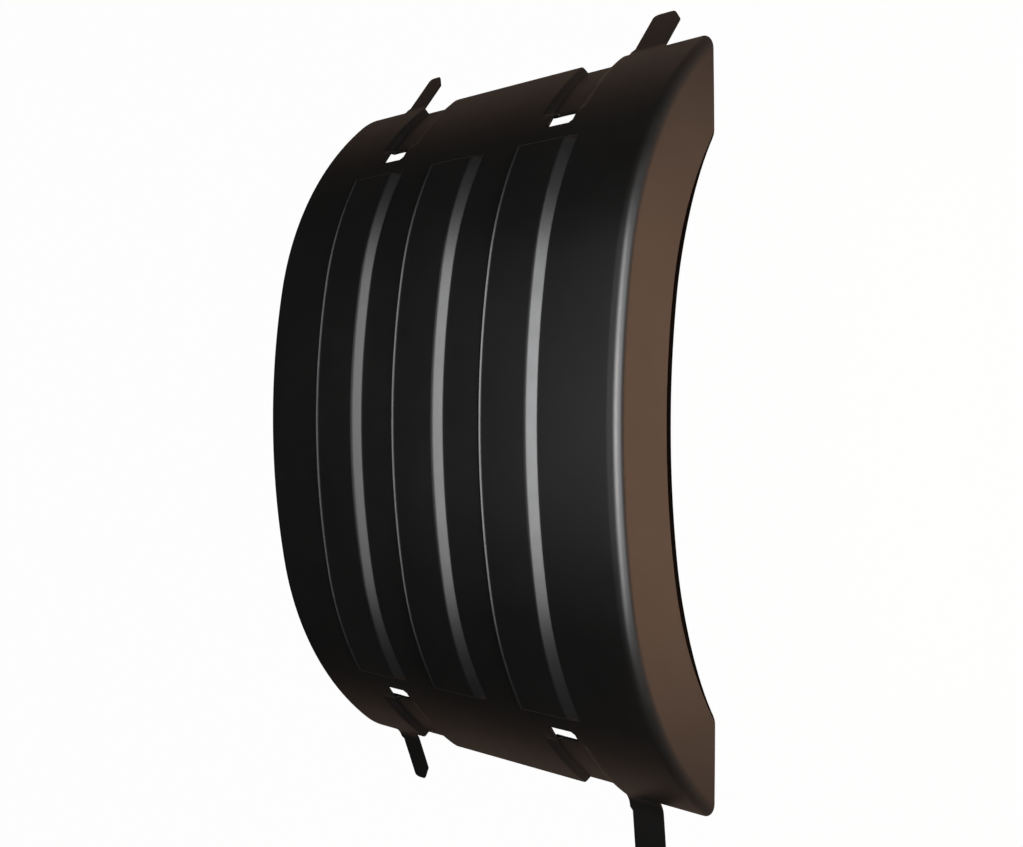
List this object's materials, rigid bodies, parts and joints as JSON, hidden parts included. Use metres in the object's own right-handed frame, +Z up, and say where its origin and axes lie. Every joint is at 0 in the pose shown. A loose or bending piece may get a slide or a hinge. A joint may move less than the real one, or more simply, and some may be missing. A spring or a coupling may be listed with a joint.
{
  "type": "truck fender",
  "caption": "Moulded plastic truck fender top section: arched shell with an outer skirt, raised pads along the arch, strap slots in end channels and locking tongues.",
  "frame": {"origin": "on the underside of the crown, midway across the width, where the arch bears on its carrier", "axes": "+X across the fender towards the skirt, +Y along the vehicle, +Z up"},
  "size_m": [0.603, 1.0804, 0.2507],
  "materials": {
    "shell": "satin black moulded plastic"
  },
  "bodies": {
    "root": {"fender_shell": "shell"}
  },
  "joints": []
}
